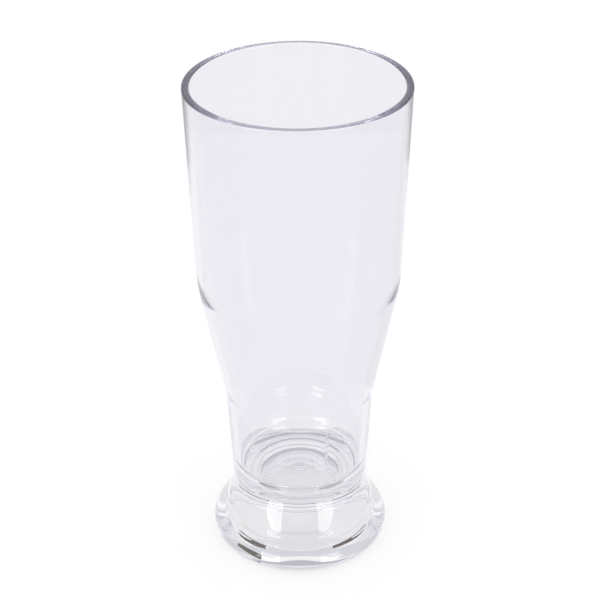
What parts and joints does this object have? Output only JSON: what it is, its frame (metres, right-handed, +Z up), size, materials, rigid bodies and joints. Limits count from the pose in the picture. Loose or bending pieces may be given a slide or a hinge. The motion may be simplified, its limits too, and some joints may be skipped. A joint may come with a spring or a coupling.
{
  "type": "pilsner glass",
  "caption": "Tall clear plastic pilsner glass with a tapered, shouldered bowl, a thick floor and a hollow, domed bell foot on a round bead.",
  "frame": {"origin": "on the table plane under the middle of the foot", "axes": "+Z up along the glass's axis, from the foot to the rim; X and Y are free because the glass is round"},
  "size_m": [0.083, 0.083, 0.2],
  "materials": {
    "bowl_plastic": "clear moulded styrene-acrylonitrile, polished",
    "foot_plastic": "clear moulded styrene-acrylonitrile, polished",
    "bond_cement": "clear cured cement"
  },
  "bodies": {
    "root": {"bowl": "bowl_plastic", "bond_layer": "bond_cement", "foot": "foot_plastic"}
  },
  "joints": []
}
